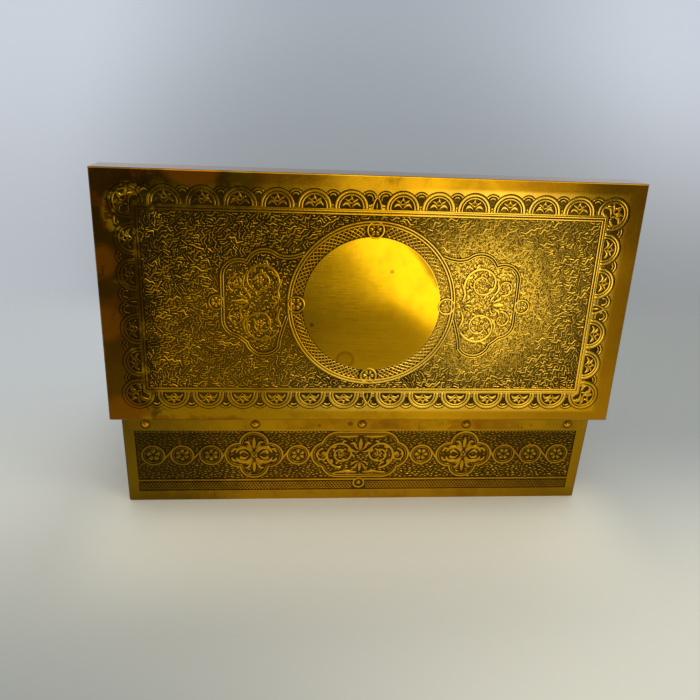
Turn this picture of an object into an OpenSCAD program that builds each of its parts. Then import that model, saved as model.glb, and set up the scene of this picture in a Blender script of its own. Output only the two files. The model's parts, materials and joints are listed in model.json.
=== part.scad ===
// Sweet box of engraved brass sheet, lined with cedar, with a hinged cover.
// The origin is the middle of the underside. +Z is up, the hinge is on the +Y
// side and the box opens on the -Y side. The cover is drawn standing open, on
// its stop.

/* [Body] */
// Width of the body, outside
body_w = 197.4; // [170:0.2:240]
// Depth of the body, outside, from front to back
body_d = 93; // [84:0.5:120]
// Height of the front and side walls
body_h = 48.5; // [46:0.5:60]
// Thickness of the brass walls
wall_t = 1.2; // [0.9:0.1:1.6]
// Radius of the upright corners
corner_r = 1.1; // [0.4:0.1:1.6]
// Thickness of the brass base
base_t = 1.2; // [0.8:0.1:2]

/* [Cedar lining] */
// Thickness of the cedar boards
lining_t = 3; // [2:0.25:4]
// How far the lining stops below the brass edge
lining_drop = 0.8; // [0.4:0.1:2]
// How far the lining of the cover stops above the closed body
lining_lift = 0.5; // [0.3:0.1:1]

/* [Cover] */
// Depth of the cover, from its top face to the edge of its rim
cover_h = 15; // [13:0.25:18]
// How far the closed cover's rim hangs over the body
cover_lap = 4.7; // [3:0.1:6]
// Thickness of the cover's top plate
plate_t = 1.2; // [0.9:0.1:2]
// Thickness of the cover's rims
rim_t = 1.1; // [0.8:0.1:1.6]
// Clearance between the rims and the body
cover_gap = 0.2; // [0.1:0.05:0.5]
// Width of the bevel round the cover's top face
bevel = 0.35; // [0.1:0.05:0.5]
// How far the cover opens before its back rim meets the hinge leaf
open_angle = 85.8; // [75:0.1:89]

/* [Hinge] */
// Distance from the body's corners to the ends of the hinge
hinge_inset = 2.6; // [2:0.1:8]
// How far the hinge pin lies below the body's top edge
hinge_drop = 1.4; // [1.2:0.1:2]
// Thickness of the hinge leaves
leaf_t = 0.8; // [0.5:0.05:1]
// Height of the body's leaf below the pin
body_leaf_h = 11.5; // [9:0.1:14]
// Height of the cover's leaf above the pin
cover_leaf_h = 8.2; // [6:0.1:8.5]
// Radius of the body leaf's rounded corners
leaf_corner_r = 3; // [1:0.25:4]
// Outer radius of the knuckles
barrel_r = 1.1; // [1:0.05:1.25]
// Radius of the pin
pin_r = 0.6; // [0.4:0.05:0.7]
// Number of knuckles, an odd number
knuckles = 17; // [9:2:25]
// Radial clearance of the pin in the body's knuckles
pin_fit = 0.02; // [0.01:0.01:0.04]
// Radial clearance of the pin in the cover's knuckles
pin_run = 0.05; // [0.03:0.01:0.08]
// Clearance between one knuckle and what lies beside it
knuckle_gap = 0.15; // [0.1:0.05:0.3]
// Gap left between the cover's back rim and the leaf it stops on
stop_gap = 0.03; // [0.02:0.01:0.06]

/* [Nails] */
// Nails along each leaf
nails = 5; // [3:1:9]
// Distance from the leaf's ends to the last nails
nail_end = 7.1; // [5:0.1:12]
// Height of the nails above the body leaf's lower edge
nail_rise = 2.6; // [2:0.1:4]
// Height of the cover's nails above the pin
cover_nail_rise = 5.2; // [4:0.1:6]
// Radius of the nail shanks
nail_r = 0.5; // [0.4:0.05:0.7]
// Radius of the domed heads
head_r = 1.6; // [1.2:0.1:1.9]
// Height of the domed heads
head_h = 0.9; // [0.5:0.1:1.1]
// How far a nail's point stops short of the cedar's inner face
nail_cover = 0.6; // [0.4:0.1:1]

/* [Friezes] */
// Depth of the sunk ground in all the ornament
relief = 0.4; // [0.2:0.05:0.5]
// Plain margin beside and below each frieze
frieze_margin = 4.7; // [3.5:0.1:6]
// Plain strip between the back frieze and the hinge leaf
frieze_gap = 1.1; // [0.5:0.1:2]
// Height of the rope band at the foot of a frieze
rope_h = 4.6; // [2.5:0.1:5]
// Width of the raised lines in a frieze
frieze_line = 0.7; // [0.4:0.05:0.9]
// Centre-line radius of the scroll's loops
loop_r = 4.6; // [3.5:0.1:5]
// Distance from one loop to the next
loop_pitch = 11.8; // [10.5:0.1:14]
// Plain ground between a frieze's last loop and its end
loop_end = 2.3; // [1:0.1:5]
// Centre-line radius of the ring boss on the rope band
boss_r = 2.3; // [1.5:0.1:2.6]
// Half width of the middle cartouche
cartouche_w = 20.8; // [18:0.1:24]
// Half height of the middle cartouche and of the medallions
cartouche_h = 11.2; // [9:0.1:11.4]
// Half width of the medallions
medallion_w = 12; // [10:0.1:13]

/* [Cover ornament] */
// Plain margin from the cover's short sides to the frame
frame_x = 14; // [12:0.1:18]
// Plain margin from the cover's long sides to the frame
frame_y = 12.3; // [11:0.1:14]
// Width of each of the frame's two raised lines
frame_line = 0.65; // [0.4:0.05:0.9]
// Width of the groove between raised lines
groove = 0.35; // [0.25:0.05:0.5]
// Radius of the scalloped border's arches
arch_r = 6.4; // [5.5:0.1:6.5]
// Height of an arch's straight foot
arch_foot = 1; // [0.5:0.1:1.5]
// Width of an arch's outer raised band
arch_band = 0.95; // [0.6:0.05:1.2]
// Width of an arch's inner raised band
arch_thin = 0.6; // [0.4:0.05:0.8]
// Distance from one arch to the next
arch_pitch = 13.15; // [12.9:0.05:15]
// Distance from the middle of a long side to its first arch
arch_first_x = 9.3; // [8.5:0.1:11]
// Distance from the middle of a short side to its first arch
arch_first_y = 10.3; // [8.5:0.1:11]
// Radius of the small arches that show between the large ones
small_r = 3.1; // [2.4:0.1:3.4]
// Half width of the lancet in the middle of each side
lancet_w = 2; // [1.5:0.1:2.4]
// Height of that lancet
lancet_h = 5.4; // [4.5:0.1:6]
// Radius of the plain disc in the middle
disc_r = 26; // [18:0.25:26.5]
// Width of the braided ring round the disc
braid_w = 4.2; // [3:0.1:5]
// Width of each raised line round the braid
ring_line = 0.7; // [0.4:0.05:0.9]
// Radius of the four small loops on the braided ring
ring_loop_r = 3; // [2:0.1:3.2]

/* [Hidden] */
$fn = 72;
// Anything that is cut right through is cut this much further
over = 1;
// Lobes and core of a medallion, as shares of its half height
medallion_lobe = 0.52;
medallion_core = 0.66;
// End lobes of the middle cartouche, how far they reach in, and its corner rounds
cartouche_lobe = 0.56;
cartouche_reach = 0.72;
cartouche_round = 0.6;
// Ground between the cartouche, the single loop, the medallion and the run of loops
single_gap = 1.2;
medallion_gap = 2;
run_gap = 1.4;
// A slanting band is this share of a loop's line, so it runs inside the line's edges
link_share = 0.94;
// How far the border's corner circles stand out past an arch's foot
corner_out = 1.2;
// How far the small loops on the braid sink into the disc's edge
loop_sink = 0.4;
// How far the small arches stay below the tops of the large ones
small_drop = 0.2;

hinge_y = body_d / 2 + leaf_t - barrel_r;
hinge_z = body_h - hinge_drop;
hinge_w = body_w - 2 * hinge_inset;
knuckle_w = hinge_w / knuckles;
leaf_low = hinge_z - body_leaf_h;
notch_z = hinge_z - barrel_r - knuckle_gap;
corner = min(corner_r, wall_t);

cover_w = body_w + 2 * (cover_gap + rim_t);
cover_d = body_d + 2 * (cover_gap + rim_t);
// Places in the closed cover, measured from the hinge pin
top_z = cover_h - cover_lap + hinge_drop;
rim_top = top_z - plate_t;
edge_z = top_z - cover_h;
back_out = body_d / 2 + cover_gap + rim_t - hinge_y;
back_in = back_out - rim_t;
front_out = back_out - cover_d;
front_in = front_out + rim_t;
plate_mid = (back_out + front_out) / 2;
// The back rim's lower inner corner comes down on the leaf at open_angle
stop_z = (barrel_r + stop_gap - back_in * cos(open_angle)) / sin(open_angle);
board_low = rim_top - lining_t;
strip_low = hinge_drop + lining_lift;
strip_back = back_in - leaf_t;
strip_front = front_in;
strip_x = cover_w / 2 - rim_t;

inner_x = body_w / 2 - wall_t;
inner_y = body_d / 2 - wall_t;
floor_z = base_t + lining_t;
lining_top = body_h - lining_drop;

frieze_low = frieze_margin;
frieze_top = leaf_low - frieze_gap;
rope_top = frieze_low + rope_h;
rule_z = rope_top + groove + frieze_line + groove;
scroll_z = (rule_z + frieze_top) / 2;

frame_w = cover_w - 2 * frame_x;
frame_d = cover_d - 2 * frame_y;
// The border's corner circles stand out from the frame's corners
corner_x = frame_w / 2 + arch_foot + corner_out;
corner_y = frame_d / 2 + arch_foot;
thin_out = arch_r - 2 * groove - arch_band;
// The braid lies between the disc and two raised lines
ring_in = disc_r + braid_w;
ring_out = ring_in + 2 * ring_line + groove;
ring_mid = disc_r + ring_loop_r - loop_sink;

// ---- shared shapes -------------------------------------------------------

// A box from its lowest to its highest corner
module span(low, high) {
    translate(low) cube(high - low);
}

// Places something drawn round the hinge pin, cover closed, at the open angle
module on_cover() {
    translate([0, hinge_y, hinge_z]) rotate([-open_angle, 0, 0]) children();
}

// A ring of the given centre-line radius and line width
module ring2d(r, w) {
    difference() {
        circle(r + w / 2);
        circle(r - w / 2);
    }
}

// Draws its children again, mirrored left to right
module both_x() {
    children();
    mirror([1, 0]) children();
}

// Draws its children again, mirrored up and down
module both_y() {
    children();
    mirror([0, 1]) children();
}

// ---- friezes of the four walls -------------------------------------------

// A pointed oval with rounded shoulders, the outline of a medallion
module lozenge2d(w, h, grow) {
    lobe = h * medallion_lobe;
    union() {
        both_x() translate([w - lobe, 0]) circle(lobe + grow);
        both_y() translate([0, h - lobe]) circle(lobe + grow);
        circle(h * medallion_core + grow);
    }
}

// The cartouche in the middle of a frieze: a rounded panel with a lobe at each end
module cartouche2d(w, h, grow) {
    lobe = h * cartouche_lobe;
    side = w - lobe * cartouche_reach;
    r = h * cartouche_round;
    union() {
        both_x() translate([w - lobe, 0]) circle(lobe + grow);
        both_x() both_y() translate([side - r, h - r]) circle(r + grow);
        square([2 * (side - r), 2 * (h + grow)], center = true);
        square([2 * (side + grow), 2 * (h - r)], center = true);
    }
}

// The slanting band that runs from the top of one loop to the foot of the next
module link2d(step) {
    slope = asin(min(0.95, 2 * loop_r / step));
    length = sqrt(max(0.1, step * step - 4 * loop_r * loop_r));
    translate([step / 2, 0]) rotate(-slope)
        square([length, frieze_line * link_share], center = true);
}

// Raised outlines of a frieze of the given width, drawn round its middle
module frieze_lines2d(w, middle) {
    single = cartouche_w + loop_r + single_gap;
    medallion = single + loop_r + medallion_w + medallion_gap;
    first = middle ? medallion + medallion_w + loop_r + run_gap : 0;
    last = w / 2 - loop_r - loop_end;
    count = max(1, round((last - first) / loop_pitch));
    step = (last - first) / count;
    translate([0, scroll_z]) both_x() {
        for (i = [0 : count])
            translate([first + i * step, 0]) ring2d(loop_r, frieze_line);
        for (i = [0 : count - 1])
            translate([first + i * step, 0]) link2d(step);
        if (middle) {
            translate([single, 0]) ring2d(loop_r, frieze_line);
            translate([medallion, 0]) difference() {
                lozenge2d(medallion_w, cartouche_h, frieze_line / 2);
                lozenge2d(medallion_w, cartouche_h, -frieze_line / 2);
            }
        }
    }
    if (middle)
        translate([0, scroll_z]) difference() {
            cartouche2d(cartouche_w, cartouche_h, frieze_line / 2);
            cartouche2d(cartouche_w, cartouche_h, -frieze_line / 2);
        }
    // the rule above the rope band, broken by the ring boss
    difference() {
        translate([-w / 2 - over, rope_top + groove]) square([w + 2 * over, frieze_line]);
        translate([0, rope_top - boss_r / 2]) circle(boss_r);
    }
    translate([0, rope_top - boss_r / 2]) ring2d(boss_r, frieze_line);
}

// The sunk ground of a frieze, ready to cut from a wall's outer face at y = 0
module frieze_cut(w, middle) {
    rotate([90, 0, 0])
        translate([0, 0, -relief]) linear_extrude(relief + over)
            difference() {
                translate([-w / 2, frieze_low]) square([w, frieze_top - frieze_low]);
                frieze_lines2d(w, middle);
            }
}

// A front or back wall with rounded upright corners, drawn at the front
module long_wall(top) {
    difference() {
        translate([-body_w / 2, -body_d / 2, 0]) cube([body_w, wall_t, top]);
        for (side = [-1, 1]) translate([side * body_w / 2, -body_d / 2, 0]) difference() {
            cube([2 * corner, 2 * corner, 2 * top + over], center = true);
            translate([-side * corner, corner, -top]) cylinder(r = corner, h = 2 * top + over);
        }
        translate([0, -body_d / 2, 0]) frieze_cut(body_w - 2 * frieze_margin, true);
    }
}

module body_front_wall() {
    color("goldenrod") long_wall(body_h);
}

// The back wall is cut down between its corners, where the hinge lies
module body_back_wall() {
    color("goldenrod") difference() {
        mirror([0, 1, 0]) long_wall(body_h);
        span([-hinge_w / 2 - knuckle_gap, inner_y - over, notch_z],
             [hinge_w / 2 + knuckle_gap, body_d / 2 + over, body_h + over]);
        nail_places(leaf_low + nail_rise)
            rotate([90, 0, 0]) cylinder(r = nail_r, h = body_d, center = true);
    }
}

// A side wall between the front and back walls, drawn on the -X side
module side_wall() {
    difference() {
        span([-body_w / 2, -inner_y, 0], [-inner_x, inner_y, body_h]);
        translate([-body_w / 2, 0, 0]) rotate([0, 0, -90])
            frieze_cut(body_d - 2 * frieze_margin, false);
    }
}

module body_left_wall() {
    color("goldenrod") side_wall();
}

module body_right_wall() {
    color("goldenrod") mirror([1, 0, 0]) side_wall();
}

module base_plate() {
    color("darkgoldenrod") span([-inner_x, -inner_y, 0], [inner_x, inner_y, base_t]);
}

// ---- cedar lining --------------------------------------------------------

module lining_floor() {
    color("sienna") span([-inner_x, -inner_y, base_t], [inner_x, inner_y, floor_z]);
}

module lining_front() {
    color("peru") span([-inner_x, -inner_y, floor_z],
                       [inner_x, -inner_y + lining_t, lining_top]);
}

// The back board is no higher than the cut-down wall that it backs
module lining_back() {
    color("peru") difference() {
        span([-inner_x, inner_y - lining_t, floor_z], [inner_x, inner_y, notch_z]);
        nail_places(leaf_low + nail_rise)
            translate([0, inner_y - lining_t + nail_cover, 0])
                rotate([-90, 0, 0]) cylinder(r = nail_r, h = lining_t);
    }
}

module side_lining() {
    span([-inner_x, -inner_y + lining_t, floor_z],
         [-inner_x + lining_t, inner_y - lining_t, lining_top]);
}

module lining_left() {
    color("peru") side_lining();
}

module lining_right() {
    color("peru") mirror([1, 0, 0]) side_lining();
}

// ---- hinge ---------------------------------------------------------------

// Repeats its children at each nail of a leaf, at the given height
module nail_places(z) {
    pitch = (hinge_w - 2 * nail_end) / (nails - 1);
    for (i = [0 : nails - 1])
        translate([-hinge_w / 2 + nail_end + i * pitch, 0, z]) children();
}

// The knuckles of one leaf, round the pin's line: first is 0 or 1
module barrels(first, bore_r) {
    difference() {
        for (i = [first : 2 : knuckles - 1])
            translate([-hinge_w / 2 + i * knuckle_w + knuckle_gap / 2, 0, 0])
                rotate([0, 90, 0]) cylinder(r = barrel_r, h = knuckle_w - knuckle_gap);
        rotate([0, 90, 0]) cylinder(r = bore_r, h = body_w, center = true);
    }
}

// Room in one leaf for the other leaf's knuckles
module knuckle_notches(first) {
    for (i = [first : 2 : knuckles - 1])
        translate([-hinge_w / 2 + i * knuckle_w - knuckle_gap / 2,
                   -2 * barrel_r, -barrel_r - knuckle_gap])
            cube([knuckle_w + knuckle_gap, 4 * barrel_r, 2 * (barrel_r + knuckle_gap)]);
}

// The body's leaf, nailed on the outside of the back wall
module hinge_body_leaf() {
    low = -body_leaf_h;
    r = leaf_corner_r;
    color("goldenrod") translate([0, hinge_y, hinge_z]) union() {
        difference() {
            translate([0, barrel_r, 0]) rotate([90, 0, 0]) linear_extrude(leaf_t) union() {
                translate([-hinge_w / 2, low + r]) square([hinge_w, -low - r]);
                translate([-hinge_w / 2 + r, low]) square([hinge_w - 2 * r, r]);
                both_x() translate([hinge_w / 2 - r, low + r]) circle(r);
            }
            knuckle_notches(1);
            rotate([0, 90, 0]) cylinder(r = pin_r + pin_fit, h = body_w, center = true);
            nail_places(low + nail_rise)
                rotate([90, 0, 0]) cylinder(r = nail_r, h = body_d, center = true);
        }
        barrels(0, pin_r + pin_fit);
    }
}

// The cover's leaf, on the inside of the back rim
module hinge_cover_leaf() {
    color("goldenrod") on_cover() union() {
        difference() {
            span([-hinge_w / 2, back_in - leaf_t, 0], [hinge_w / 2, back_in, cover_leaf_h]);
            knuckle_notches(0);
            rotate([0, 90, 0]) cylinder(r = pin_r + pin_run, h = body_w, center = true);
            nail_places(cover_nail_rise)
                rotate([90, 0, 0]) cylinder(r = nail_r, h = body_d, center = true);
        }
        barrels(1, pin_r + pin_run);
    }
}

module hinge_pin() {
    color("darkgoldenrod") translate([0, hinge_y, hinge_z])
        rotate([0, 90, 0]) cylinder(r = pin_r, h = hinge_w, center = true);
}

// A nail with a domed head, pointing along -Y, its head's seat at y = 0
module nail(shank) {
    dome_r = (head_r * head_r + head_h * head_h) / (2 * head_h);
    rotate([90, 0, 0]) cylinder(r = nail_r, h = shank);
    intersection() {
        translate([0, head_h - dome_r, 0]) sphere(dome_r);
        rotate([-90, 0, 0]) cylinder(r = 2 * head_r, h = 2 * head_h);
    }
}

module hinge_body_nails() {
    color("gold") translate([0, body_d / 2 + leaf_t, 0])
        nail_places(leaf_low + nail_rise) nail(leaf_t + wall_t + lining_t - nail_cover);
}

module hinge_cover_nails() {
    color("gold") on_cover() translate([0, back_out, 0])
        nail_places(cover_nail_rise) nail(rim_t + leaf_t + lining_t - nail_cover);
}

// ---- cover ---------------------------------------------------------------

// Repeats its children along a row of arches, on both sides of its middle
module arch_row(half, first) {
    count = round((half - first) / arch_pitch);
    step = (half - first) / count;
    both_x() for (i = [0 : count - 1]) translate([first + i * step, 0]) children();
}

// Repeats its children midway between the arches of a row
module gap_row(half, first) {
    count = round((half - first) / arch_pitch);
    step = (half - first) / count;
    both_x() for (i = [0 : count - 1]) translate([first + (i + 0.5) * step, 0]) children();
}

// Height at which the small arches reach as far out as the large ones
function small_up() = arch_r + arch_foot - small_r - small_drop;

// Repeats its children at the small arches of a row
module small_places(half, first) {
    translate([0, small_up()]) {
        gap_row(half, first) children();
        both_x() translate([small_r - groove / 2, 0]) children();
    }
}

// Repeats its children, drawn for the long side or the short side, round the frame
module round_frame(long) {
    if (long) both_y() translate([0, frame_d / 2]) children();
    else both_x() translate([frame_w / 2, 0]) rotate(-90) children();
}

// Repeats its children at the four corners of the border
module border_corners() {
    both_x() both_y() translate([corner_x, corner_y]) children();
}

// A pointed arch on the frame's line, its half width and height grown by the given amount
module lancet2d(grow) {
    w = lancet_w + grow;
    h = lancet_h + grow;
    r = (w * w + h * h) / (2 * w);
    intersection() {
        translate([r - w, 0]) circle(r);
        translate([w - r, 0]) circle(r);
    }
}

// What is cut from the border: grooves round the arches and their hollows
module border_cuts2d(half, first, lift) {
    difference() {
        union() {
            lancet2d(-arch_thin);
            arch_row(half, first) translate([0, arch_foot]) arch_cuts2d();
            difference() {
                small_places(half, first) difference() {
                    circle(small_r);
                    ring2d(small_r - groove - arch_thin / 2, arch_thin);
                }
                lancet2d(0);
                arch_row(half, first) translate([0, arch_foot]) circle(arch_r - groove / 2);
                for (end = [-half, half])
                    translate([end, lift]) circle(arch_r - groove / 2);
            }
        }
        translate([-half - arch_r, -arch_r]) square([2 * (half + arch_r), arch_r + groove]);
    }
}

// The grooves and the hollow of one large arch
module arch_cuts2d() {
    ring2d(arch_r - groove / 2, groove);
    ring2d(thin_out + groove / 2, groove);
    circle(thin_out - arch_thin);
}

// The field inside the frame, without the ring and the disc
module field_cut2d() {
    inset = 2 * frame_line + groove;
    difference() {
        square([frame_w - 2 * inset, frame_d - 2 * inset], center = true);
        circle(ring_out);
    }
}

// The braid's ground, round the disc, without the four small loops
module ring_cut2d() {
    difference() {
        ring2d((disc_r + ring_in) / 2, braid_w);
        for (quarter = [0 : 3]) rotate(90 * quarter) translate([ring_mid, 0])
            ring2d(ring_loop_r, ring_line);
    }
    ring2d(ring_in + ring_line + groove / 2, groove);
}

module plate_cut(depth) {
    translate([0, plate_mid, top_z - depth]) linear_extrude(depth + over) children();
}

module cover_top_plate() {
    color("gold") on_cover() difference() {
        translate([0, plate_mid, rim_top]) linear_extrude(plate_t)
            square([cover_w, cover_d], center = true);
        plate_cut(relief) {
            field_cut2d();
            ring_cut2d();
            difference() {
                square([frame_w - 2 * frame_line, frame_d - 2 * frame_line], center = true);
                square([frame_w - 2 * (frame_line + groove), frame_d - 2 * (frame_line + groove)],
                       center = true);
            }
        }
        plate_cut(relief) round_frame(true) border_cuts2d(corner_x, arch_first_x, corner_y - frame_d / 2);
        plate_cut(relief) round_frame(false) border_cuts2d(corner_y, arch_first_y, corner_x - frame_w / 2);
        plate_cut(relief) border_corners() difference() {
            arch_cuts2d();
            translate([-corner_x - arch_r, -corner_y - arch_r])
                square([corner_x + arch_r - (corner_x - frame_w / 2) + groove,
                        corner_y + arch_r - (corner_y - frame_d / 2) + groove]);
        }
        plate_bevels();
    }
}

// Prisms that bevel the four edges of the cover's top face
module plate_bevels() {
    side = bevel * sqrt(2);
    for (x = [-cover_w / 2, cover_w / 2])
        translate([x, plate_mid, top_z]) rotate([0, 45, 0])
            cube([side, cover_d + over, side], center = true);
    for (y = [front_out, back_out])
        translate([0, y, top_z]) rotate([45, 0, 0])
            cube([cover_w + over, side, side], center = true);
}

module cover_front_rim() {
    color("goldenrod") on_cover()
        span([-strip_x, front_out, edge_z], [strip_x, front_in, rim_top]);
}

// The back rim stops short of the pin, and meets the body's leaf when open
module cover_back_rim() {
    color("goldenrod") on_cover() difference() {
        span([-strip_x, back_in, stop_z], [strip_x, back_out, rim_top]);
        nail_places(cover_nail_rise)
            rotate([90, 0, 0]) cylinder(r = nail_r, h = body_d, center = true);
    }
}

module side_rim() {
    span([-cover_w / 2, front_out, edge_z], [-strip_x, back_out, rim_top]);
}

module cover_left_rim() {
    color("goldenrod") on_cover() side_rim();
}

module cover_right_rim() {
    color("goldenrod") on_cover() mirror([1, 0, 0]) side_rim();
}

module cover_lining_board() {
    color("sienna") on_cover()
        span([-strip_x, front_in, board_low], [strip_x, strip_back, rim_top]);
}

module cover_lining_front() {
    color("peru") on_cover()
        span([-strip_x, strip_front, strip_low], [strip_x, strip_front + lining_t, board_low]);
}

module cover_lining_back() {
    color("peru") on_cover() difference() {
        span([-strip_x, strip_back - lining_t, strip_low], [strip_x, strip_back, board_low]);
        nail_places(cover_nail_rise)
            translate([0, strip_back - lining_t + nail_cover, 0])
                rotate([-90, 0, 0]) cylinder(r = nail_r, h = lining_t);
    }
}

module cover_side_strip() {
    span([-strip_x, strip_front + lining_t, strip_low],
         [-strip_x + lining_t, strip_back - lining_t, board_low]);
}

module cover_lining_left() {
    color("peru") on_cover() cover_side_strip();
}

module cover_lining_right() {
    color("peru") on_cover() mirror([1, 0, 0]) cover_side_strip();
}

base_plate();
body_front_wall();
body_back_wall();
body_left_wall();
body_right_wall();
lining_floor();
lining_front();
lining_back();
lining_left();
lining_right();
hinge_body_leaf();
hinge_pin();
hinge_body_nails();
cover_top_plate();
cover_front_rim();
cover_back_rim();
cover_left_rim();
cover_right_rim();
cover_lining_board();
cover_lining_front();
cover_lining_back();
cover_lining_left();
cover_lining_right();
hinge_cover_leaf();
hinge_cover_nails();
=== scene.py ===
import json
import math
import random

import bpy
import numpy as np
from mathutils import Matrix, Quaternion, Vector


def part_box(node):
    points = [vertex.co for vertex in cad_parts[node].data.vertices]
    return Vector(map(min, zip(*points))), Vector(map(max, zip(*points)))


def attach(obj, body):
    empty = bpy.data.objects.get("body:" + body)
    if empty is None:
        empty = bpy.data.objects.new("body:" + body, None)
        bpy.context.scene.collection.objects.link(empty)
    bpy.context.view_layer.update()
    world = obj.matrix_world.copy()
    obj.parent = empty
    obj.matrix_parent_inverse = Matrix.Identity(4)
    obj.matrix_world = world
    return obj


# The looks of an engraved brass sweet box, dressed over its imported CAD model.
# Lengths are in millimetres and become metres where a mesh is made.

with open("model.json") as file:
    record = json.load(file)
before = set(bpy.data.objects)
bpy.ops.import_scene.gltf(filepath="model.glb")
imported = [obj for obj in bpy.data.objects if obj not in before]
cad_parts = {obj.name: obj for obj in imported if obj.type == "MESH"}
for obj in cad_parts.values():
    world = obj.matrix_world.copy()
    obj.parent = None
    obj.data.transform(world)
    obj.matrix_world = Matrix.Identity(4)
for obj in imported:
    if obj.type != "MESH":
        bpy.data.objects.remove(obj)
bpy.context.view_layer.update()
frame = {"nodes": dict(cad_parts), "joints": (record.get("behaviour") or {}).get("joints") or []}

MM = 0.001

# The raised work stands on ground this far below the surface, its feet a little deeper,
# and its rounded crowns cover the CAD's flat ones.
RELIEF = 0.4
FOOT = -0.42
CROWN = 0.05
COVER_BAND = 0.11
# The front is the part's outermost face there, so its crowns stay below its surface
FRONT_SET_BACK = 0.095
# How unevenly it was cut, how far the ends of lines sink, and the bare ground beside main lines
UNEVEN = 0.012
END_DIP = 0.12
MARGIN = 0.3
# Seeds of the random draws, and of those for each wall's ground
SEED = 7
WALL_SEEDS = {"back": 11, "front": 12, "left": 11, "right": 12}

# Frieze, measured on a wall from the table up, as in the CAD
FRIEZE_LOW = 4.7
FRIEZE_TOP = 34.5
FRIEZE_MARGIN = 4.7
ROPE_TOP = 9.3
RULE_Z = 10.0
SCROLL_Z = 22.6
LINE = 0.7
LOOP_R = 4.6
LOOP_PITCH = 11.8
LOOP_END = 2.3
BOSS_Z = 8.15
BOSS_R = 2.3
BEAD_PITCH = 1.5
SINGLE_X = 26.6
MEDALLION_X = 45.2
FIRST_LOOP_X = 63.2
CARTOUCHE = (20.8, 11.2)
MEDALLION = (12.0, 11.2)
# Radii of their end lobes, as shares of their half height
CARTOUCHE_LOBE = 0.56
MEDALLION_LOBE = 0.52

# Cover ornament, measured from the middle of the cover's face
FRAME = (86.0, 35.5)
FRAME_LINE = 0.65
GROOVE = 0.35
ARCH_R = 6.4
ARCH_FOOT = 1.0
ARCH_BAND = 0.95
ARCH_THIN = 0.6
ARCH_PITCH = 13.15
ARCH_FIRST = (9.3, 10.3)
CORNER = (88.2, 36.5)
CORNER_ARC = (186.7, -109.4)
SMALL_R = 3.1
SMALL_UP = 4.1
LANCET = (2.0, 5.4)
DISC_R = 26.0
BRAID_W = 4.2
RING_LINE = 0.7
RING_LOOP_R = 3.0
RING_LOOP_AT = 28.6
END_LOOP = (58.0, 0.4)
NAIL_PITCH = 44.5


# ---- panels ----

class Panel:
    """A flat face of the box. Across runs to the right as it is looked at, and up runs up it."""

    def __init__(self, body, centre, across, up, lift=0.0):
        self.body = body
        self.lift = lift
        self.centre = Vector(centre)
        self.across = Vector(across)
        self.up = Vector(up)
        self.out = self.across.cross(self.up)

    def at(self, across, up, out=0.0):
        """The point that far across, up and out, in metres."""
        return (self.centre + across * self.across + up * self.up + (out + self.lift) * self.out) * MM


def cover_panel():
    """The cover's outer face, found from its plate as if it were shut."""
    joint = frame["joints"][0]
    hinge = Vector(joint["pos_m"])
    opened = Matrix.Rotation(-math.radians(joint["range_deg"][1]), 3, "X")
    shut = [opened.inverted() @ (v.co - hinge) for v in frame["nodes"]["cover_top_plate"].data.vertices]
    middle = (min(p.y for p in shut) + max(p.y for p in shut)) / 2
    face = max(p.z for p in shut)
    centre = hinge + opened @ Vector((0, middle, face))
    return Panel("cover", centre / MM, (-1, 0, 0), opened @ Vector((0, -1, 0)))


def wall_panels():
    """The outer faces of the four walls, each from the middle of its lower edge."""
    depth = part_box("body_back_wall")[1].y / MM
    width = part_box("body_right_wall")[1].x / MM
    return {
        "back": Panel("box", (0, depth, 0), (-1, 0, 0), (0, 0, 1)),
        "front": Panel("box", (0, -depth, 0), (1, 0, 0), (0, 0, 1), -FRONT_SET_BACK),
        "left": Panel("box", (-width, 0, 0), (0, -1, 0), (0, 0, 1)),
        "right": Panel("box", (width, 0, 0), (0, 1, 0), (0, 0, 1)),
    }


def added(name, data):
    """A new object in the scene."""
    made = bpy.data.objects.new(name, data)
    bpy.context.scene.collection.objects.link(made)
    return made


# ---- lines on a panel ----

def arc(centre, radius, start, end, step=0.5):
    """Points of an arc from start to end, in degrees."""
    sweep = math.radians(end - start)
    count = max(4, math.ceil(abs(sweep) * radius / step))
    turn = [math.radians(start) + sweep * i / count for i in range(count + 1)]
    return [(centre[0] + radius * math.cos(a), centre[1] + radius * math.sin(a)) for a in turn]


def circle(centre, radius, step=0.5):
    return arc(centre, radius, 0, 360, step)[:-1]


def spiral(centre, outer, inner, start, turns, step=0.6):
    """Points of a spiral that winds inwards from its start angle, in degrees."""
    length = math.radians(abs(turns) * 360) * (outer + inner) / 2
    count = max(8, math.ceil(length / step))
    points = []
    for i in range(count + 1):
        share = i / count
        angle = math.radians(start + 360 * turns * share)
        radius = outer + (inner - outer) * share ** 0.8
        points.append((centre[0] + radius * math.cos(angle), centre[1] + radius * math.sin(angle)))
    return points


def smooth(points, per=5):
    """A rounded line through points."""
    made = []
    ends = [points[0]] + list(points) + [points[-1]]
    for a, b, c, d in zip(ends, ends[1:], ends[2:], ends[3:]):
        for i in range(per):
            t = i / per
            made.append(tuple(
                0.5 * (2 * b[k] + (c[k] - a[k]) * t + (2 * a[k] - 5 * b[k] + 4 * c[k] - d[k]) * t * t
                       + (3 * b[k] - a[k] - 3 * c[k] + d[k]) * t ** 3) for k in (0, 1)))
    return made + [points[-1]]


def placed(path, at=(0, 0), turn=0.0, flip=False, scale=1.0):
    """The path scaled, mirrored left to right if asked, turned and moved."""
    c, s = math.cos(math.radians(turn)), math.sin(math.radians(turn))
    made = []
    for u, v in path:
        u, v = (-u if flip else u) * scale, v * scale
        made.append((at[0] + c * u - s * v, at[1] + s * u + c * v))
    return made


def length_of(path):
    return sum(math.dist(a, b) for a, b in zip(path, path[1:]))


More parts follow.
